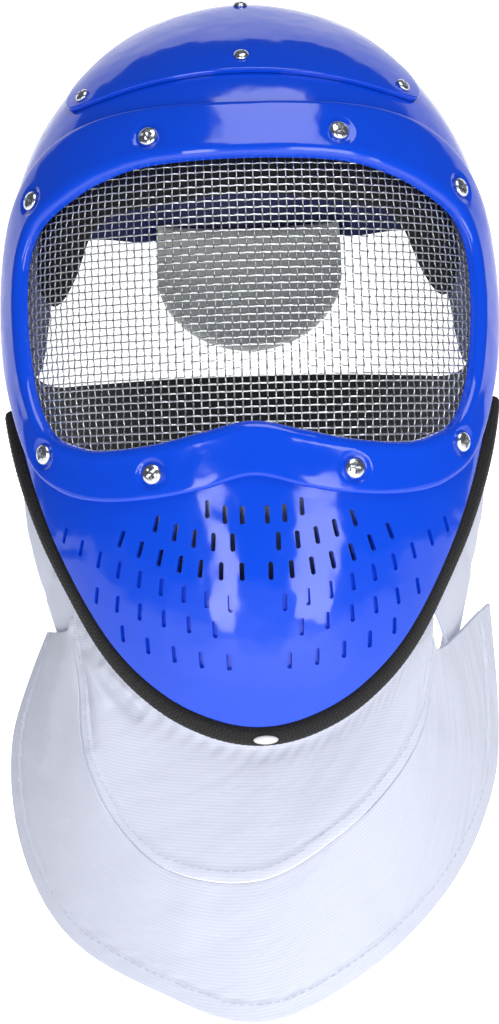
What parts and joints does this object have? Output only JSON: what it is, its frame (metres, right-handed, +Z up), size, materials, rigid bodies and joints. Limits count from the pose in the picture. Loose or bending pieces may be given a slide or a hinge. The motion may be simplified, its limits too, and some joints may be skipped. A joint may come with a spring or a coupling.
{
  "type": "fencing mask",
  "caption": "Full-face fencing mask: glossy blue plastic shell with a woven wire visor, breathing slots in the chin guard, a black webbing edge and a white cotton bib.",
  "frame": {"origin": "where the inside of the crown rests on the top of the head", "axes": "+Z up, the face looks along -Y, +X to the left hand of the wearer"},
  "size_m": [0.2167, 0.2298, 0.4327],
  "materials": {
    "blue_plastic": "high gloss moulded",
    "steel_wire": "bright drawn wire",
    "zinc_screw": "bright zinc plate",
    "black_webbing": "ribbed weave",
    "pale_stud": "satin",
    "white_cotton": "fine twill",
    "black_foam": "soft matte foam",
    "grey_cloth": "padded plain weave",
    "black_elastic": "woven elastic"
  },
  "bodies": {
    "root": {"face_shell": "blue_plastic", "crown_plate": "blue_plastic", "visor_frame": "blue_plastic", "visor_mesh": "steel_wire", "visor_screw_1": "zinc_screw", "visor_screw_2": "zinc_screw", "visor_screw_3": "zinc_screw", "visor_screw_4": "zinc_screw", "visor_screw_5": "zinc_screw", "visor_screw_6": "zinc_screw", "visor_screw_7": "zinc_screw", "visor_screw_8": "zinc_screw", "crown_screw_top": "zinc_screw", "crown_screw_front": "zinc_screw", "crown_screw_left": "zinc_screw", "crown_screw_right": "zinc_screw", "edge_binding": "black_webbing", "binding_rivet": "pale_stud", "bib_throat": "white_cotton", "bib_apron": "white_cotton", "bib_side_left": "white_cotton", "bib_side_right": "white_cotton", "brow_pad": "black_foam", "tongue": "grey_cloth", "back_strap": "black_elastic"}
  },
  "joints": []
}
